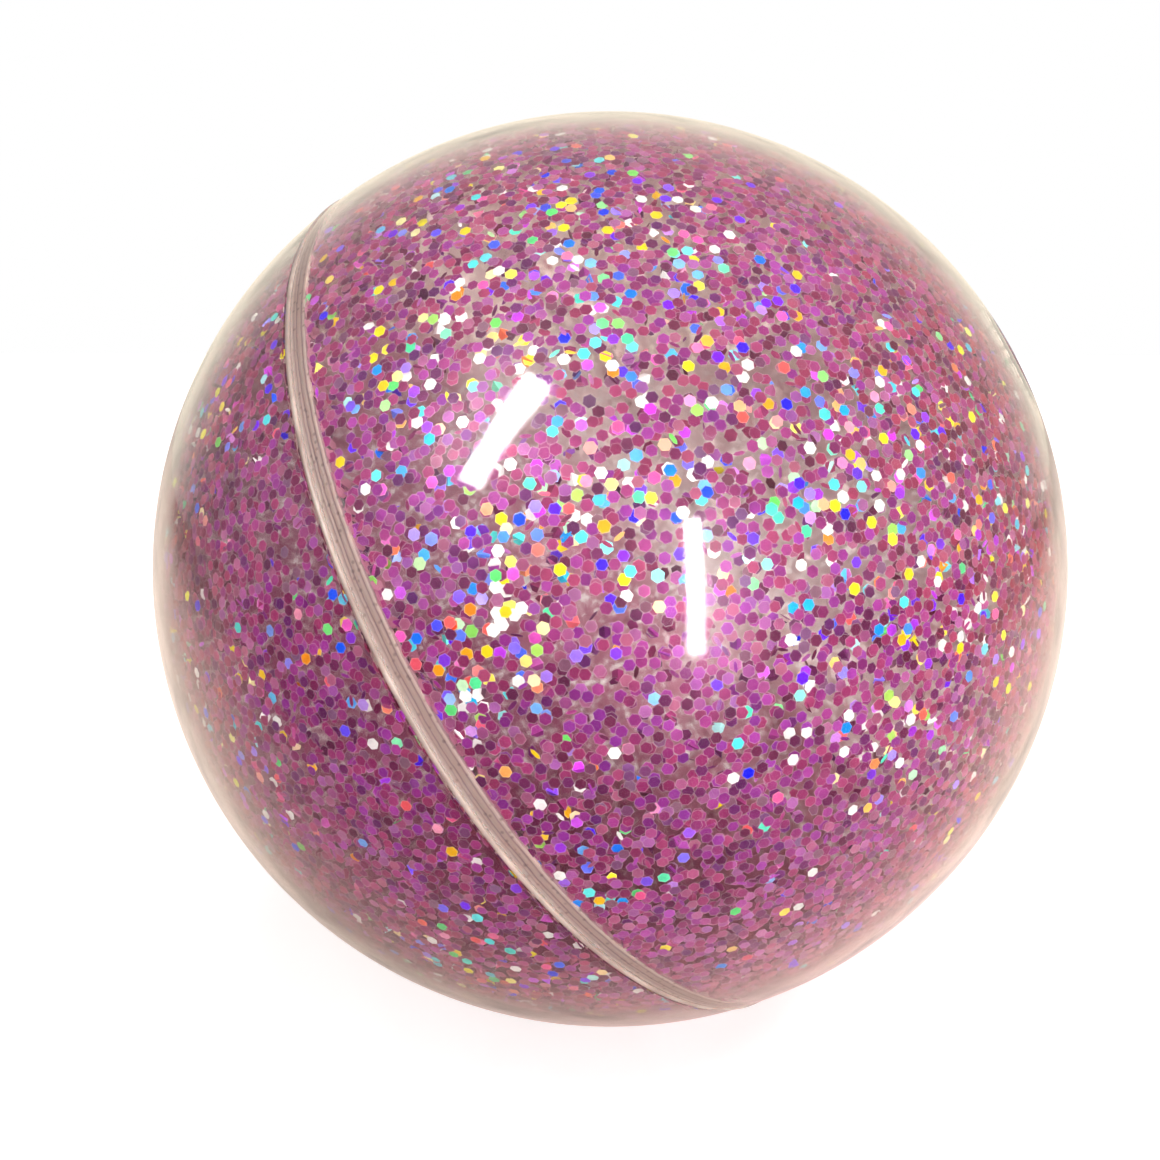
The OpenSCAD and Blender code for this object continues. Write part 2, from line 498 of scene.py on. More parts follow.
def let_through(sheet, shader, end, tint, part=1.0):
    """Lets a part of the lamp light pass straight through a clear or hazy finish, with a tint."""
    light = sheet.times(sheet.add("ShaderNodeLightPath").outputs["Is Shadow Ray"], part)
    through = sheet.out("ShaderNodeBsdfTransparent", {"Color": (*tint, 1)})
    sheet.give(end, "Surface", sheet.out("ShaderNodeMixShader", {0: light, 1: shader.outputs[0], 2: through}))


def clear_plastic(name, tint, roughness, haze):
    """Clear soft plastic with faint clouds in its tint and fine scuffs on its skin. Lamps shine through."""
    material, sheet, shader, end = finish_of(name)
    spot = sheet.spot()
    clouds = sheet.cloud(spot, 60.0, 3.0)
    body = sheet.ramp(clouds, [(0.3, shade(pale(tint, 0.9), 0.98)), (0.7, pale(tint, 0.9))])
    depth = sheet.add("ShaderNodeLayerWeight", {"Blend": 0.5}).outputs["Facing"]
    depth = sheet.span(depth, 0.45, 0.85)
    waves = sheet.relief(sheet.cloud(spot, 140.0, 1.0), 0.05, 0.001)
    scuffs = sheet.relief(sheet.cloud(spot, 900.0, 4.0, 0.6), 0.02, 0.0001, waves)
    sheet.settle(shader, Base_Color=sheet.mix(depth, body, tint), Normal=scuffs, Roughness=roughness)
    sheet.settle(shader, IOR=CLEAR_IOR, Transmission_Weight=1.0)
    sheet.settle(shader, Coat_Weight=haze, Coat_Roughness=HAZE_ROUGHNESS, Coat_IOR=CLEAR_IOR)
    let_through(sheet, shader, end, pale(tint, 0.95))
    return material


class BOUNCY_BALL_OT_shell_halves(bpy.types.Operator):
    """Makes the two clear halves, the front one with its filler boss and the rear one with its spigot"""

    bl_idname = "bouncy_ball.shell_halves"
    bl_label = "Shell halves"

    def execute(self, context):
        s = context.scene.ball_sizes
        m = measures()
        plastic = clear_plastic("Clear shell plastic", linear(SHELL_TINT), SHELL_ROUGHNESS, SHELL_HAZE)
        edge = m.head + s.plug_gap
        rim = math.asin((edge + BORE_CHAMFER) / m.ball)
        front = arc(m.ball, tilt_of(m.ball, s.bond), rim, SHELL_ARC)
        front += [
            (edge, beside(m.ball, edge) - BORE_CHAMFER), (edge, m.head_seat), (m.bore, m.head_seat),
            (m.bore, m.boss_face), (m.boss, m.boss_face),
        ]
        front += arc(m.inner, math.asin(m.boss / m.inner), tilt_of(m.inner, s.bond), SHELL_ARC)
        root, tip = -s.root_length, s.spigot_length
        rear = arc(m.ball, math.pi / 2, math.pi, SHELL_ARC)
        rear += arc(m.inner, math.pi, tilt_of(m.inner, root), SHELL_ARC)
        rear += arc(m.throat, tilt_of(m.throat, root), tilt_of(m.throat, tip), SPIGOT_ARC)
        rear += arc(m.spigot, tilt_of(m.spigot, tip), math.pi / 2, SPIGOT_ARC)
        for name, outline in (("front_half", front), ("rear_half", rear)):
            half = placed(name, turned(outline, SHELL_ROUND), plastic, 20)
            dress(half, "ball", "clear_shell", name + "_shell")
        return {"FINISHED"}


def bond_finish():
    """Hazy adhesive: beige strips with fine dark lines along the seam, broken up by small bubbles."""
    material, sheet, shader, end = finish_of("Seam adhesive")
    spot = sheet.spot()
    along = sheet.dot(spot, lie() @ Vector((0, 0, 1)))
    along = sheet.math("DIVIDE", along, bpy.context.scene.ball_sizes.spigot_length)
    ripple = sheet.cloud(spot, 260.0, 4.0, 0.65)
    wander = sheet.times(sheet.minus(ripple, 0.5), 0.16)
    strip = sheet.ramp(sheet.plus(along, wander), shades(FILM_STRIPS))
    bubbles = sheet.out("ShaderNodeTexVoronoi", {"Vector": spot, "Scale": 1500.0})
    specks = sheet.ramp(bubbles, [(0.12, (0.25, 0.2, 0.22)), (0.3, WHITE)])
    film = sheet.mix(0.55, strip, specks, "MULTIPLY")
    sheet.settle(shader, Base_Color=film, Normal=sheet.relief(ripple, 0.3, 0.0001))
    sheet.settle(shader, Roughness=0.45, Subsurface_Weight=0.15, Subsurface_Scale=0.0005)
    let_through(sheet, shader, end, linear("#d8c4c0"))
    return material


def bead_finish():
    """Set adhesive on the seam line: beige and glossy, a little cloudy along its length."""
    material, sheet, shader, end = finish_of("Seam bead adhesive")
    clouds = sheet.cloud(sheet.spot(), 220.0, 4.0, 0.6)
    body = sheet.ramp(clouds, shades(BEAD_SHADES))
    sheet.settle(shader, Base_Color=body, Normal=sheet.relief(clouds, 0.25, 0.0001))
    sheet.settle(shader, Roughness=0.32, Subsurface_Weight=0.2, Subsurface_Scale=0.0008)
    let_through(sheet, shader, end, linear("#e6d8d0"))
    return material


class BOUNCY_BALL_OT_seam_adhesive(bpy.types.Operator):
    """Makes the ridged film of adhesive under the front half's wall, and the bead along the seam line"""

    bl_idname = "bouncy_ball.seam_adhesive"
    bl_label = "Seam adhesive"

    def execute(self, context):
        s = context.scene.ball_sizes
        m = measures()
        foot = s.bond * 0.1
        # The film is bonded to the wall: its ridges reach a little way into the wall's surface
        outer = []
        for i in range(FILM_STEPS + 1):
            along = foot + (s.spigot_length - foot) * i / FILM_STEPS
            ridge = 0.5 - 0.5 * math.cos(math.tau * FILM_RIDGES * i / FILM_STEPS)
            outer.append((beside(m.inner + FILM_BITE + FILM_RIDGE * ridge, along), along))
        heights = (s.spigot_length, s.spigot_length / 2, foot)
        inner = [(beside(m.spigot + FILM_SEAT, along), along) for along in heights]
        film = turned(outer + inner, FILM_ROUND)
        # Its edge at the spigot's end is frayed
        for v in film.vertices:
            near_end = max(v.co.z / s.spigot_length - FRAY_START, 0) / (1 - FRAY_START)
            rough = noise.noise(v.co * 1400) * 0.6 + noise.noise(v.co * 420)
            v.co.z += rough * near_end * FILM_FRAY
        dress(placed("seam_film", film, bond_finish()), "ball", "bond", "seam_bond")

        # The bead swells and thins a little along the seam line
        middle = s.bond / 2
        half = s.bead_width / 2
        bead_outline = []
        for i in range(BEAD_STEPS + 1):
            a = math.radians(-BEAD_SWEEP + 2 * BEAD_SWEEP * i / BEAD_STEPS)
            bead_outline.append((m.bead + half * math.cos(a), middle + half * math.sin(a)))
        bead_outline += [(m.inner + BEAD_LEG, s.bond * 0.9), (m.inner + BEAD_LEG, foot)]
        bead = turned(bead_outline, BEAD_ROUND)
        for v in bead.vertices:
            aside = math.hypot(v.co.x, v.co.y)
            reach = aside - m.bead
            if reach > 0:
                swell = BEAD_FULLNESS + BEAD_SWELL * noise.noise(Vector((v.co.x, v.co.y, 0)) * 230)
                v.co.x *= (m.bead + reach * swell) / aside
                v.co.y *= (m.bead + reach * swell) / aside
        dress(placed("seam_line_bead", bead, bead_finish()), "ball", "bead", "seam_bead")
        return {"FINISHED"}


def plug_finish():
    """Dull plastic of the plug, darker and greyer than the shell, with a fine grain. Its dark shade is partly
    its own colour and partly painted shade for the dark line at its edge.
    """
    material, sheet, shader, _ = finish_of("Plug plastic")
    spot = sheet.spot()
    body = sheet.ramp(sheet.cloud(spot, 300.0, 3.0), shades(PLUG_SHADES))
    grain = sheet.relief(sheet.cloud(spot, 1200.0, 3.0), 0.1, 0.0001)
    sheet.settle(shader, Base_Color=body, Normal=grain, Roughness=0.65, Specular_IOR_Level=0.06)
    sheet.settle(shader, Subsurface_Weight=0.3, Subsurface_Scale=0.001)
    return material


class BOUNCY_BALL_OT_filler_plug(bpy.types.Operator):
    """Makes the filler plug, domed flush with the ball, with its stem and barb"""

    bl_idname = "bouncy_ball.filler_plug"
    bl_label = "Filler plug"

    def execute(self, context):
        m = measures()
        under = HEAD_CHAMFER / 2
        outline = arc(m.ball, 0, math.asin((m.head - HEAD_CHAMFER) / m.ball), PLUG_ARC)
        outline += [
            (m.head, beside(m.ball, m.head) - HEAD_CHAMFER), (m.head, m.head_seat + under),
            (m.head - under, m.head_seat), (m.stem, m.head_seat), (m.stem, m.barb_top),
            (m.barb, m.barb_top), (m.stem, m.plug_end), (0, m.plug_end),
        ]
        plug = placed("plug", turned(outline, PLUG_ROUND), plug_finish(), 25)
        dress(plug, "ball", "plug", "filler_plug")
        return {"FINISHED"}


def foil_finish(name):
    """Holographic foil: each flake takes its own tone from a flash colour, with painted reflection and light
    by its place on the ball, and a back with painted light and shade.
    """
    tints = bpy.context.scene.glitter_colours
    flash = tuple(getattr(tints, name))
    material, sheet, shader, end = finish_of(name.capitalize() + " foil")
    if name in CALM:
        tones = [(0.0, shade(flash, 0.66)), (0.3, shade(flash, 0.9)), (0.7, flash), (1.0, pale(flash, 0.1))]
        depth, painted_floor_light, floor_light_saturation = (1.2, 0.84), 1.28, 0.84
    else:
        whiter = 1.0 if name in PALING else 0.55
        tones = [(0.0, shade(flash, 0.85)), (0.45, flash)]
        tones += [(0.8, pale(flash, 0.2 * whiter)), (1.0, pale(flash, 0.5 * whiter))]
        depth, painted_floor_light, floor_light_saturation = (1.0, 1.0), 1.0, 1.0
    front = sheet.ramp(sheet.attribute("tone"), tones)

    # Painted reflection and light: foil at the front of the ball, which mirrors the dark camera side, is
    # darker and turns to violet, and foil near the floor is painted paler and less rich, as if lit by the
    # floor
    spot = sheet.spot()
    right, up, back = view_axes()[:3]
    radius = bpy.context.scene.ball_sizes.radius
    square = sheet.dot(spot, back / radius)
    below = sheet.dot(spot, (right * 0.5 - up * 0.85) / radius)
    drift = sheet.times(sheet.cloud(spot, 22.0, 1.0), 0.1)
    turn = sheet.plus(sheet.span(square, 0.45, 0.95, 0.506, 0.452), drift)
    spread = sheet.span(square, 0.45, 0.95, 0.035, 0.14)
    spread = sheet.times(spread, sheet.math("POWER", sheet.attribute("hue"), 2.0))
    level = sheet.span(square, 0.6, 0.95, *depth)
    level = sheet.times(level, sheet.span(below, 0.3, 0.9, 1.0, painted_floor_light))
    front = sheet.out("ShaderNodeHueSaturation", {
        "Hue": sheet.minus(turn, spread), "Value": level, "Fac": 1.0, "Color": front,
        "Saturation": sheet.span(below, 0.3, 0.9, 1.0, floor_light_saturation),
    })

    # Fine grain, and a pale cut edge: partly the edge's own colour, partly a painted highlight where the edge
    # catches the light
    grain = sheet.ramp(sheet.cloud(spot, 1600.0, 2.0), [(0.35, (0.72, 0.7, 0.74)), (0.6, WHITE)])
    front = sheet.mix(0.5, front, grain, "MULTIPLY")
    edge = sheet.span(sheet.attribute("edge"), 0.87, 0.95, 0.0, 0.45)
    front = sheet.mix(edge, front, pale(flash, 0.45))

    # Backs of the flakes, with painted light and shade: lighter towards the key lamp and darker low on the
    # ball
    lit = sheet.span(sheet.dot(spot, (right * 0.7 + up * 0.7).normalized() / radius), -0.6, 0.6)
    linings = ((0.0, tints.low_backs_painted_shade), (0.54, tints.mid_backs_painted_half_shade), (0.72, tints.lining))
    behind = sheet.ramp(lit, [(place, tuple(tint)) for place, tint in linings])
    sheet.settle(shader, Base_Color=sheet.mix(sheet.attribute("lining"), front, behind))
    sheet.settle(shader, Metallic=0.35, Roughness=0.36, Specular_IOR_Level=0.15)
    let_through(sheet, shader, end, pale(flash, 0.85), 0.94)
    return material


def flake_tree():
    """Geometry nodes that lay hexagonal flakes in layers on a surface whose faces look into the ball."""
    tree = bpy.data.node_groups.new("Flakes on a surface", "GeometryNodeTree")
    numbers = (
        "Width", "Thickness", "Spacing", "Layer Gap", "Tilt", "Lifted Tilt", "Lifted", "Creased", "Slivers",
        "First Pick", "Last Pick", "Flash Share", "Front Share",
    )
    kinds = {"Surface": "Geometry", **dict.fromkeys(numbers, "Float")}
    kinds.update({"Flash Side": "Vector", "Seed": "Int", "Foil": "Material"})
    for name, kind in kinds.items():
        tree.interface.new_socket(name, in_out="INPUT", socket_type="NodeSocket" + kind)
    tree.interface.new_socket("Flakes", in_out="OUTPUT", socket_type="NodeSocketGeometry")
    sheet = Sheet(tree)
    given = sheet.add("NodeGroupInput").outputs
    index = sheet.out("GeometryNodeInputIndex")

    def drawn_by(name, kind, limits):
        inputs = {**limits, "ID": index, "Seed": sheet.plus(given["Seed"], float(DRAWS[name]))}
        return sheet.out("FunctionNodeRandomValue", inputs, data_type=kind)

    def draw(name, low=0.0, high=1.0):
        return drawn_by(name, "FLOAT", {"Min": low, "Max": high})

    def happens(name, chance):
        return drawn_by(name, "BOOLEAN", {"Probability": chance})

    def keep(geometry, name, value, kind="FLOAT", domain="POINT"):
        inputs = {"Geometry": geometry, "Name": name, "Value": value}
        return sheet.out("GeometryNodeStoreNamedAttribute", inputs, data_type=kind, domain=domain)

    def kept(name, kind="FLOAT"):
        return sheet.out("GeometryNodeInputNamedAttribute", {"Name": name}, data_type=kind)

    def moved(geometry, offset):
        return sheet.out("GeometryNodeSetPosition", {"Geometry": geometry, "Offset": offset})

    def facing(place):
        return sheet.dot(sheet.vector("NORMALIZE", place), given["Flash Side"])

    # One flake: a thin hexagon, and the same one folded across its corners
    corner = sheet.math("DIVIDE", given["Width"], math.sqrt(3))
    blank = sheet.out("GeometryNodeMeshUVSphere", {"Segments": 6, "Rings": 2, "Radius": corner})
    flat_ratio = sheet.math("DIVIDE", given["Thickness"], sheet.times(corner, 2.0))
    flat = sheet.out("GeometryNodeTransform", {"Geometry": blank, "Scale": sheet.xyz(1.0, 1.0, flat_ratio)})
    spot = sheet.out("GeometryNodeInputPosition")
    parts = sheet.add("ShaderNodeSeparateXYZ", {"Vector": spot}).outputs
    flat = keep(flat, "lining", sheet.math("GREATER_THAN", parts["Z"], 0.0), domain="FACE")
    flat = keep(flat, "edge", sheet.math("LESS_THAN", sheet.math("ABSOLUTE", parts["Z"]), 0.000001))
    flat = keep(flat, "OFBake", sheet.scaled(spot, 15.0), "FLOAT2", "CORNER")
    bent = moved(flat, sheet.xyz(z=sheet.times(sheet.math("ABSOLUTE", parts["Y"]), FOLD_SLOPE)))

    # Layers of points, each a little further from the wall, with fewer points at the front of the ball
    layers = []
    normal = sheet.out("GeometryNodeInputNormal")
    most = sheet.math("DIVIDE", 3.0, sheet.times(given["Spacing"], given["Spacing"]))
    thin = sheet.span(facing(spot), 0.6, 0.95, 1.0, given["Front Share"])
    for layer in range(LAYERS):
        depth = sheet.times(given["Layer Gap"], float(layer))
        surface = moved(given["Surface"], sheet.scaled(normal, depth))
        inputs = {
            "Mesh": surface, "Seed": sheet.plus(given["Seed"], float(layer)),
            "Distance Min": given["Spacing"], "Density Max": most, "Density Factor": thin,
        }
        spread = sheet.add("GeometryNodeDistributePointsOnFaces", inputs, distribute_method="POISSON").outputs
        points = keep(spread["Points"], "turn", spread["Rotation"], "QUATERNION")
        layers.append(keep(points, "inward", spread["Normal"], "FLOAT_VECTOR"))
    points = sheet.out("GeometryNodeJoinGeometry", {"Geometry": layers})

    # The points whose pick falls to this flash: bright flashes gather in patches, mostly at the front, as
    # painted glints that are thickest on the side that mirrors the lamps
    patchy = sheet.span(sheet.cloud(spot, 38.0, 2.0), 0.35, 0.65, 0.1, 1.9)
    burst = sheet.math("POWER", sheet.math("MAXIMUM", facing(spot), 0.0), 3.0)
    burst = sheet.plus(sheet.times(burst, 0.78), 0.1)
    bright = sheet.times(given["Flash Share"], sheet.times(burst, patchy))
    edge = sheet.minus(1.0, bright)
    plain = sheet.minus(1.0, given["Flash Share"])
    drawn = draw("pick")
    calm = sheet.times(plain, sheet.math("DIVIDE", drawn, edge))
    vivid = sheet.math("DIVIDE", sheet.minus(drawn, edge), bright)
    vivid = sheet.plus(plain, sheet.times(given["Flash Share"], vivid))
    pick = sheet.choose(sheet.math("GREATER_THAN", drawn, edge), calm, vivid)
    ends = {}
    for place, (name, operation) in enumerate((("First Pick", "GREATER_EQUAL"), ("Last Pick", "LESS_THAN"))):
        inputs = {0: pick, 1: given[name]}
        ends[place] = sheet.out("FunctionNodeCompare", inputs, operation=operation, data_type="FLOAT")
    both = sheet.out("FunctionNodeBooleanMath", ends, operation="AND")
    inputs = {"Geometry": points, "Selection": both}
    points = sheet.add("GeometryNodeSeparateGeometry", inputs, domain="POINT").outputs["Selection"]
    for name in ("tone", "hue"):
        points = keep(points, name, draw(name))

    # Tilt, spin and stretch of each flake, and room for its tilt
    reach = sheet.choose(happens("lifted", given["Lifted"]), given["Tilt"], given["Lifted Tilt"])
    roll = sheet.times(reach, draw("roll", -1.0))
    pitch = sheet.times(reach, draw("pitch", -0.6, 0.6))
    by = sheet.xyz(roll, pitch, draw("spin", high=math.tau))
    inputs = {0: kept("turn", "QUATERNION"), 1: sheet.out("FunctionNodeEulerToRotation", {0: by})}
    turn = sheet.out("FunctionNodeRotateRotation", inputs, rotation_space="LOCAL")
    rises = [sheet.math("ABSOLUTE", sheet.math("SINE", tilt)) for tilt in (roll, pitch)]
    room = sheet.times(sheet.math("MINIMUM", sheet.plus(*rises), 1.0), corner)
    points = moved(points, sheet.scaled(kept("inward", "FLOAT_VECTOR"), room))
    sliver = sheet.choose(happens("sliver", given["Slivers"]), 1.0, SLIVER_WIDTH)
    size = draw("size", 0.84, 0.95)
    scale = sheet.xyz(size, sheet.times(size, sliver), 1.0)

    # Flat and folded flakes on their points, made real
    creased = happens("creased", given["Creased"])
    whole = sheet.out("FunctionNodeBooleanMath", {0: creased}, operation="NOT")
    sets = []
    for flake, which in ((flat, whole), (bent, creased)):
        sets.append(sheet.out("GeometryNodeInstanceOnPoints", {
            "Points": points, "Selection": which, "Instance": flake, "Rotation": turn, "Scale": scale,
        }))
    flakes = sheet.out("GeometryNodeJoinGeometry", {"Geometry": sets})
    flakes = sheet.out("GeometryNodeRealizeInstances", {"Geometry": flakes})
    for name in ("turn", "inward"):
        flakes = sheet.out("GeometryNodeRemoveAttribute", {"Geometry": flakes, "Name": name})

    # Map for the colours: a flake's tone and hue give its place, with the backs in the upper half
    across = sheet.plus(sheet.times(kept("tone"), 0.9), 0.05)
    upward = sheet.plus(sheet.times(kept("hue"), 0.42), 0.03)
    upward = sheet.plus(upward, sheet.times(kept("lining"), 0.5))
    cell = sheet.vector("ADD", sheet.xyz(across, upward), kept("OFBake", "FLOAT_VECTOR"))
    flakes = keep(flakes, "OFBake", cell, "FLOAT2", "CORNER")
    flakes = sheet.out("GeometryNodeSetMaterial", {"Geometry": flakes, "Material": given["Foil"]})
    sheet.add("NodeGroupOutput", {"Flakes": flakes})
    return tree


def lay_flakes(name, tree, surface, material, picks, **changes):
    """Plain mesh of the flakes that one tree lays on a surface."""
    g = bpy.context.scene.glitter_sizes
    made = added(name, surface.copy())
    modifier = made.modifiers.new("Flakes", "NODES")
    modifier.node_group = tree
    right, _, back = view_axes()[:3]
    values = {
        "Width": g.flake_width, "Thickness": g.flake_thickness, "Spacing": g.spacing,
        "Layer Gap": g.layer_gap, "Tilt": g.tilt, "Lifted Tilt": LIFTED_TILT, "Lifted": g.lifted,
        "Creased": g.creased, "Slivers": g.slivers, "First Pick": picks[0], "Last Pick": picks[1],
        "Flash Share": sum(part for flash, part in FLASHES.items() if flash not in CALM),
        "Front Share": g.front_share, "Flash Side": tuple((back - right * FLASH_LEAN).normalized()),
        "Seed": g.seed, "Foil": material,
    }
    values.update(changes)
    for item in tree.interface.items_tree:
        if item.in_out == "INPUT" and item.name in values:
            modifier[item.identifier] = values[item.name]
    bpy.context.view_layer.update()
    graph = bpy.context.evaluated_depsgraph_get()
    mesh = bpy.data.meshes.new_from_object(
        made.evaluated_get(graph), preserve_all_data_layers=True, depsgraph=graph
    )
    if not mesh.polygons:
        raise RuntimeError("no flakes were laid for " + name)
    mesh.name = name
    made.modifiers.clear()
    made.data = mesh
    return made


def looking_in(mesh):
    """Turns a surface's faces to look towards the ball's middle, by its last face."""
    last = mesh.polygons[-1]
    if last.normal.dot(last.center) > 0:
        mesh.flip_normals()
    return mesh


class BOUNCY_BALL_OT_wall_glitter(bpy.types.Operator):
    """Lays the glitter that clings to the inside of each half, one piece for each flash colour"""

    bl_idname = "bouncy_ball.wall_glitter"
    bl_label = "Glitter on the wall"

    def execute(self, context):
        s = context.scene.ball_sizes
        g = context.scene.glitter_sizes
        m = measures()
        gap = g.wall_gap
        inner = m.inner - gap
        throat = m.throat - gap
        face = m.boss_face - gap
        root, tip = -s.root_length - gap, s.spigot_length + gap
        front = [(m.barb + gap + g.flake_width, face), (m.boss + gap, face)]
        front += arc(inner, math.asin((m.boss + gap) / inner), tilt_of(inner, tip), LINING_ARC)
        rear = [front[-1]]
        rear += arc(throat, tilt_of(throat, tip), tilt_of(throat, root), SPIGOT_ARC)
        rear += arc(inner, tilt_of(inner, root), math.pi, LINING_ARC)
        linings = {}
        for half, outline in (("front", front), ("rear", rear)):
            linings[half] = turned(outline, LINING_ROUND, closed=False)
            linings[half].transform(lie())
            looking_in(linings[half])
        tree = flake_tree()
        first = 0.0
        for flash, part in FLASHES.items():
            last = min(first + part, ALL_PICKED)
            foil = foil_finish(flash)
            for half, surface in linings.items():
                flakes = lay_flakes(flash + "_glitter_" + half, tree, surface, foil, (first, last))
                dress(flakes, "ball", flash + "_foil", flash + "_flakes")
            first = last
        return {"FINISHED"}


class BOUNCY_BALL_OT_loose_glitter(bpy.types.Operator):
    """Lays the two heaps of loose flakes that roll about in the bottom of the ball"""

    bl_idname = "bouncy_ball.loose_glitter"
    bl_label = "Loose glitter"

    def execute(self, context):
        g = context.scene.glitter_sizes
        m = measures()
        corner = g.flake_width / math.sqrt(3)
        tree = bpy.data.node_groups["Flakes on a surface"]
        side = m.plug_end - g.heap_room - corner
        fore = side - 2 * corner - g.heap_room
        for name, radius, body, flash, seed in (
            ("side_heap", side, "side_roller", "rose", 31), ("fore_heap", fore, "fore_roller", "mauve", 47),
        ):
            cap = arc(radius + corner * 0.9, math.pi - g.heap_angle, math.pi, HEAP_ARC)
            surface = looking_in(turned(cap, HEAP_ROUND, closed=False))
            foil = bpy.data.materials[flash.capitalize() + " foil"]
            changes = {"Seed": seed, "Spacing": g.heap_spacing, "Layer Gap": 0.0, "Lifted": HEAP_LIFTED}
            heap = lay_flakes(name, tree, surface, foil, (0.0, ALL_PICKED), **changes)
            dress(heap, body, flash + "_foil", body.split("_")[0] + "_rolling_flakes")
        return {"FINISHED"}


def view_axes():
    """Camera axes as (right, up, back) and the camera's place."""
    k = bpy.context.scene.studio_settings
    a, e = k.azimuth, k.elevation
    back = Vector((math.sin(a) * math.cos(e), -math.cos(a) * math.cos(e), math.sin(e)))
    right = Vector((math.cos(a), math.sin(a), 0))
    return right, back.cross(right), back, back * k.reach * bpy.context.scene.ball_sizes.radius


def mirror_spot(pixel, far):
    """Where a lamp has to be for the ball's outer skin to mirror it at a pixel of the photograph."""
    right, up, back, eye = view_axes()
    radius = bpy.context.scene.ball_sizes.radius
    x = (pixel[0] - BALL_SPOT[0]) / PHOTO_FOCUS
    y = (BALL_SPOT[1] - pixel[1]) / PHOTO_FOCUS
    ray = (right * x + up * y - back).normalized()
    half = eye.dot(ray)
    hit = eye + ray * (-half - math.sqrt(half * half - eye.length_squared + radius * radius))
    return hit + ray.reflect(hit.normalized()) * far


def frame_of(x, y, z, place):
    """Matrix of an object with the given axes and place."""
    return Matrix((*zip(x, y, z, place), (0, 0, 0, 1)))


def lamp(name, place, along, size, level):
    """Rectangular lamp that faces the ball, with its first side along a direction."""
    data = bpy.data.lights.new(name, "AREA")
    data.shape = "RECTANGLE"
    data.size, data.size_y = size
    data.energy = level * math.pi * size[0] * size[1]
    z = place.normalized()
    x = (along - z * along.dot(z)).normalized()
    made = added(name, data)
    made.matrix_world = frame_of(x, z.cross(x), z, place)
    made.visible_camera = False
    made.visible_transmission = False
    return made


def seen_as_background(sheet):
    """One for rays from the camera, straight or through the shell, and nought for rays that give light."""
    path = sheet.add("ShaderNodeLightPath").outputs
    shown = sheet.math("MAXIMUM", path["Is Camera Ray"], path["Is Transmission Ray"])
    plain = sheet.math("LESS_THAN", sheet.plus(path["Diffuse Depth"], path["Glossy Depth"]), 0.5)
    short = sheet.math("LESS_THAN", path["Transmission Depth"], 3.5)
    return sheet.times(shown, sheet.times(plain, short))


def seen_mirrored(sheet):
    """One for rays that come by way of a gloss, and nought for rays that a dull surface scattered."""
    path = sheet.add("ShaderNodeLightPath").outputs
    mirrored = sheet.math("GREATER_THAN", path["Glossy Depth"], 0.5)
    return sheet.times(mirrored, sheet.math("LESS_THAN", path["Diffuse Depth"], 0.5))


def studio_floor(k):
    """Pale floor that keeps the ball's shadow. In the ball's skin it is mirrored with painted light and
    shade: dark on the camera's side, paler and glowing behind and under the ball.
    """
    right, _, back = view_axes()[:3]
    mesh = bpy.data.meshes.new("studio_floor")
    z = CAD_BOX[0].z - FLOOR_GAP
    corners = [(-1, -1), (1, -1), (1, 1), (-1, 1)]
    mesh.from_pydata([(x * FLOOR_REACH, y * FLOOR_REACH, z) for x, y in corners], [], [(0, 1, 2, 3)])
    material, sheet, shader, _ = finish_of("Studio floor")
    spot = sheet.spot()
    mirrored = seen_mirrored(sheet)
    behind = sheet.span(sheet.dot(spot, -back), -0.065, 0.025, curve="SMOOTHSTEP")
    for side in (right, -right):
        fade = sheet.span(sheet.dot(spot, side + back * 1.2), 0.0, 0.3, 1.0, 0.25)
        behind = sheet.times(behind, fade)
    tint = tuple(k.floor_tint)
    paint = sheet.ramp(sheet.cloud(spot, 40.0, 3.0), [(0.3, shade(tint, 0.97)), (0.7, tint)])
    mirrored_shade_and_blush = sheet.mix(behind, tuple(k.floor_shade), shade(tuple(k.floor_gleam_tint), 0.5))
    paint = sheet.mix(mirrored, paint, mirrored_shade_and_blush)
    sheet.settle(shader, Base_Color=paint, Roughness=0.7, Specular_IOR_Level=0.2)

    # Glow: white where the camera sees the floor, and a painted gleam and a painted bloom of the ball's pink
    # bounce light where the skin mirrors it
    bloom = sheet.vector("LENGTH", sheet.vector("SUBTRACT", spot, right * BLOOM_ASIDE))
    bloom = sheet.span(bloom, 0.052, 0.075, 1.0, 0.0)
    glow = sheet.mix(bloom, tuple(k.floor_gleam_tint), tuple(k.floor_bloom_tint))
    glow = sheet.mix(mirrored, WHITE, glow)
    gleam = sheet.times(sheet.times(mirrored, behind), k.floor_gleam)
    bloom = sheet.times(sheet.times(bloom, mirrored), k.floor_bloom)
    lift = sheet.span(sheet.vector("LENGTH", spot), 0.12, 0.8, k.floor_lift, 1.0)
    lift = sheet.times(seen_as_background(sheet), lift)
    sheet.settle(shader, Emission_Color=glow, Emission_Strength=sheet.plus(lift, sheet.plus(gleam, bloom)))
    mesh.materials.append(material)
    added("studio_floor", mesh)


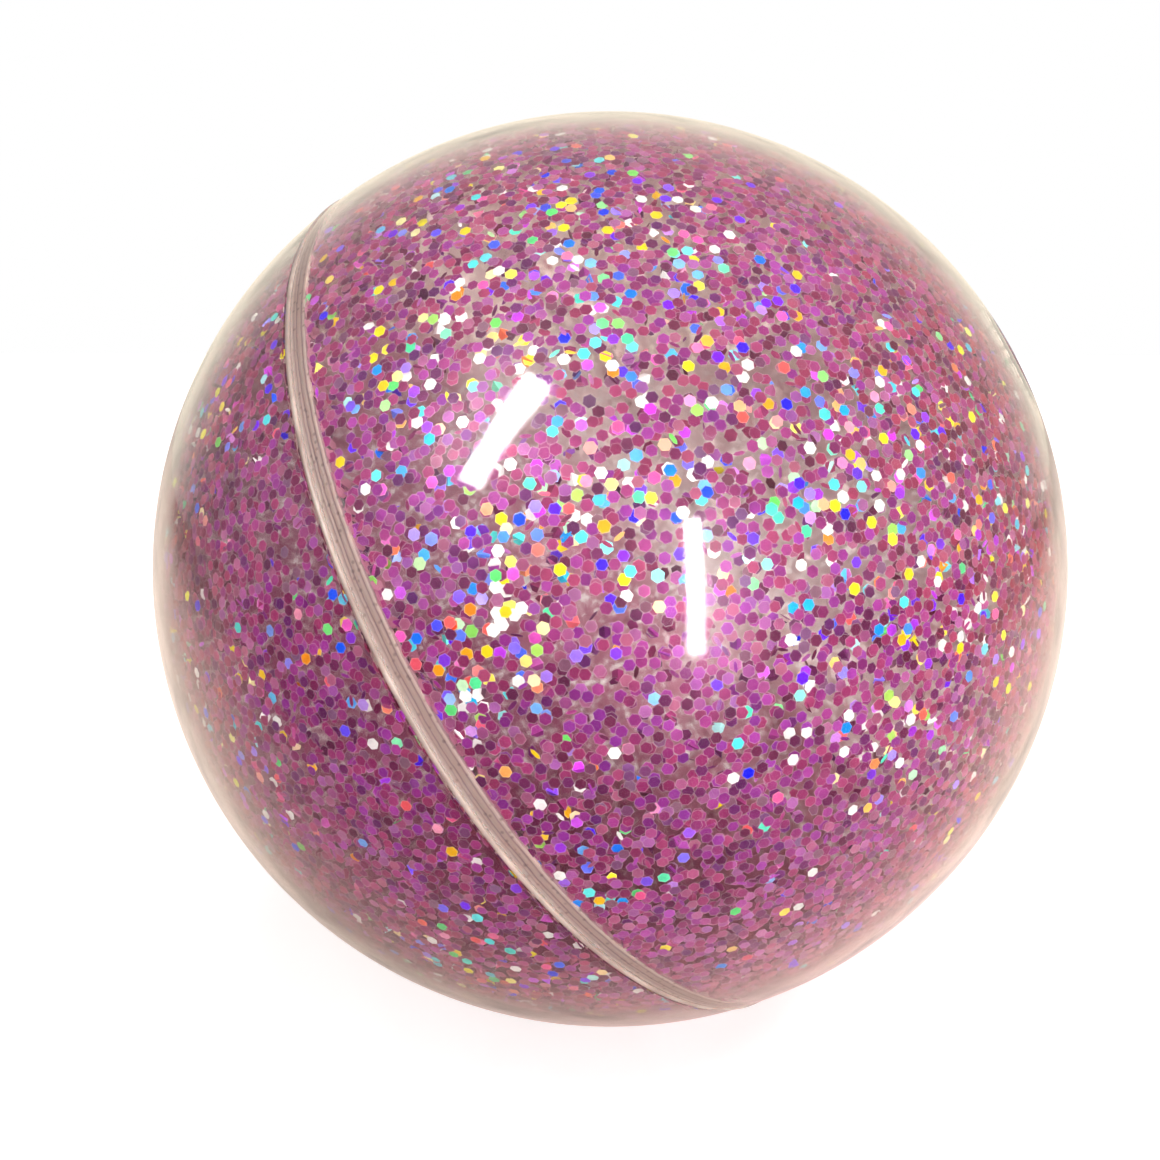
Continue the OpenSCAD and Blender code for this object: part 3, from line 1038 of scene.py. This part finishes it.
def surroundings(k, aim):
    """Surroundings that look white, and light the ball from behind and a little from the key's side."""
    back = view_axes()[2]
    world = bpy.data.worlds.new("Studio surroundings")
    world.use_nodes = True
    world.node_tree.nodes.clear()
    sheet = Sheet(world.node_tree)
    toward = sheet.add("ShaderNodeTexCoord").outputs["Generated"]
    level = sheet.plus(sheet.times(sheet.dot(toward, aim), k.world_slope), k.world_level)
    behind = sheet.span(sheet.dot(toward, -back), 0.25, 0.95, curve="SMOOTHSTEP")
    level = sheet.plus(level, sheet.times(behind, k.world_behind))
    shown = seen_as_background(sheet)
    tint = sheet.mix(behind, COOL_SIDE, tuple(k.world_tint))
    tint = sheet.mix(shown, tint, WHITE)
    lift = sheet.times(shown, sheet.minus(1.0, level))
    glow = sheet.out("ShaderNodeBackground", {"Color": tint, "Strength": sheet.plus(level, lift)})
    sheet.add("ShaderNodeOutputWorld", {"Surface": glow})
    world.cycles.sampling_method = "NONE"
    bpy.context.scene.world = world


def studio_lamps(k, aim):
    """Two strip lamps that only the gloss shows, and two soft lamps that only light the dull surfaces."""
    right, up, back = view_axes()[:3]
    for name, start, end, across in STRIPS:
        a, b = mirror_spot(start, STRIP_FAR), mirror_spot(end, STRIP_FAR)
        run = Vector((end[0] - start[0], end[1] - start[1]))
        off = Vector((-run.y, run.x)).normalized() * across
        middle = (Vector(start) + Vector(end)) / 2
        wide = (mirror_spot(middle + off, STRIP_FAR) - mirror_spot(middle - off, STRIP_FAR)).length
        strip = lamp(name, (a + b) / 2, b - a, ((b - a).length, wide), k.strip_level)
        strip.visible_diffuse = False
    low = (right * 0.52 + back * 0.85).normalized()
    for soft in (
        lamp("soft_key", aim * KEY_FAR, up, KEY_SIZE, k.key_level),
        lamp("soft_fill", low * FILL_FAR, up, FILL_SIZE, k.fill_level),
    ):
        soft.visible_glossy = False


def studio_camera():
    """Camera at the photograph's place, with its frame shifted as in the photograph."""
    data = bpy.data.cameras.new("Photograph camera")
    data.sensor_width = SENSOR_WIDTH
    data.lens = SENSOR_WIDTH * PHOTO_FOCUS / PHOTO_SIDE
    data.shift_x = (PHOTO_SIDE / 2 - BALL_SPOT[0]) / PHOTO_SIDE
    data.shift_y = (BALL_SPOT[1] - PHOTO_SIDE / 2) / PHOTO_SIDE
    data.clip_start = 0.005
    camera = added("Photograph camera", data)
    camera.matrix_world = frame_of(*view_axes())
    return camera


class BOUNCY_BALL_OT_studio(bpy.types.Operator):
    """Sets up the pale floor, the white surroundings, the lamps and the camera"""

    bl_idname = "bouncy_ball.studio"
    bl_label = "Studio"

    def execute(self, context):
        k = context.scene.studio_settings
        right, up, back = view_axes()[:3]
        aim = (right * 0.28 + up * 0.85 + back * 0.38).normalized()
        studio_floor(k)
        surroundings(k, aim)
        studio_lamps(k, aim)
        context.scene.camera = studio_camera()
        context.scene.view_settings.view_transform = "Standard"
        return {"FINISHED"}


OPERATORS = (
    BOUNCY_BALL_OT_studio,
    BOUNCY_BALL_OT_shell_halves,
    BOUNCY_BALL_OT_seam_adhesive,
    BOUNCY_BALL_OT_filler_plug,
    BOUNCY_BALL_OT_wall_glitter,
    BOUNCY_BALL_OT_loose_glitter,
)
SETTINGS = {
    "ball_sizes": BallSizes,
    "glitter_sizes": GlitterSizes,
    "glitter_colours": GlitterColours,
    "studio_settings": StudioSettings,
}


class BOUNCY_BALL_PT_panel(bpy.types.Panel):
    """Lists the ball's pieces and their settings"""

    bl_idname = "BOUNCY_BALL_PT_panel"
    bl_label = "Bouncy Ball"
    bl_space_type = "VIEW_3D"
    bl_region_type = "UI"
    bl_category = "Bouncy Ball"

    def draw(self, context):
        for operator in OPERATORS:
            self.layout.operator(operator.bl_idname)
        for name in SETTINGS:
            box = self.layout.box()
            group = getattr(context.scene, name)
            for key in group.__annotations__:
                box.prop(group, key)


def register():
    for name, group in SETTINGS.items():
        bpy.utils.register_class(group)
        setattr(bpy.types.Scene, name, bpy.props.PointerProperty(type=group))
    for operator in OPERATORS:
        bpy.utils.register_class(operator)
    bpy.utils.register_class(BOUNCY_BALL_PT_panel)


def unregister():
    bpy.utils.unregister_class(BOUNCY_BALL_PT_panel)
    for operator in reversed(OPERATORS):
        bpy.utils.unregister_class(operator)
    for name, group in reversed(SETTINGS.items()):
        delattr(bpy.types.Scene, name)
        bpy.utils.unregister_class(group)


def main():
    register()
    bpy.ops.bouncy_ball.studio()
    bpy.ops.bouncy_ball.shell_halves()
    bpy.ops.bouncy_ball.seam_adhesive()
    bpy.ops.bouncy_ball.filler_plug()
    bpy.ops.bouncy_ball.wall_glitter()
    bpy.ops.bouncy_ball.loose_glitter()


if __name__ == "__main__":
    main()
